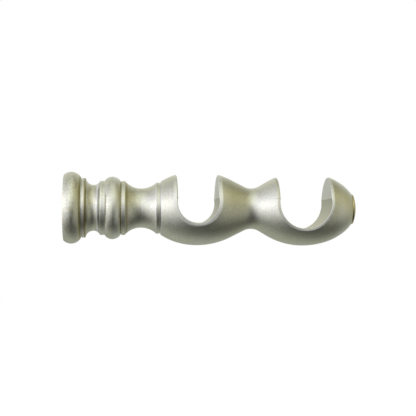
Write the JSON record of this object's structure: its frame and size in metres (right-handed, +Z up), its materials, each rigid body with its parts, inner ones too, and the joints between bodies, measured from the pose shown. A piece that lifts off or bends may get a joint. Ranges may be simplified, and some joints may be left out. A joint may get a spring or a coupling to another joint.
{
  "type": "curtain pole bracket",
  "caption": "Turned arm with a wall flange at one end, and open-topped cups bored across it that carry parallel curtain poles. A domed button closes the front end.",
  "frame": {"origin": "centre of the flange's wall face, on the turned axis", "axes": "+X along the turned axis away from the wall, +Y along the poles, +Z up, out of the cups' mouths"},
  "size_m": [0.2119, 0.0516, 0.0525],
  "materials": {
    "painted_wood": "turned hardwood under a satin champagne-silver metallic paint",
    "aged_brass": "polished, slightly darkened",
    "plated_steel": "bright zinc plate"
  },
  "bodies": {
    "root": {"turned_arm": "painted_wood", "end_button": "aged_brass", "wall_insert": "plated_steel"}
  },
  "joints": []
}
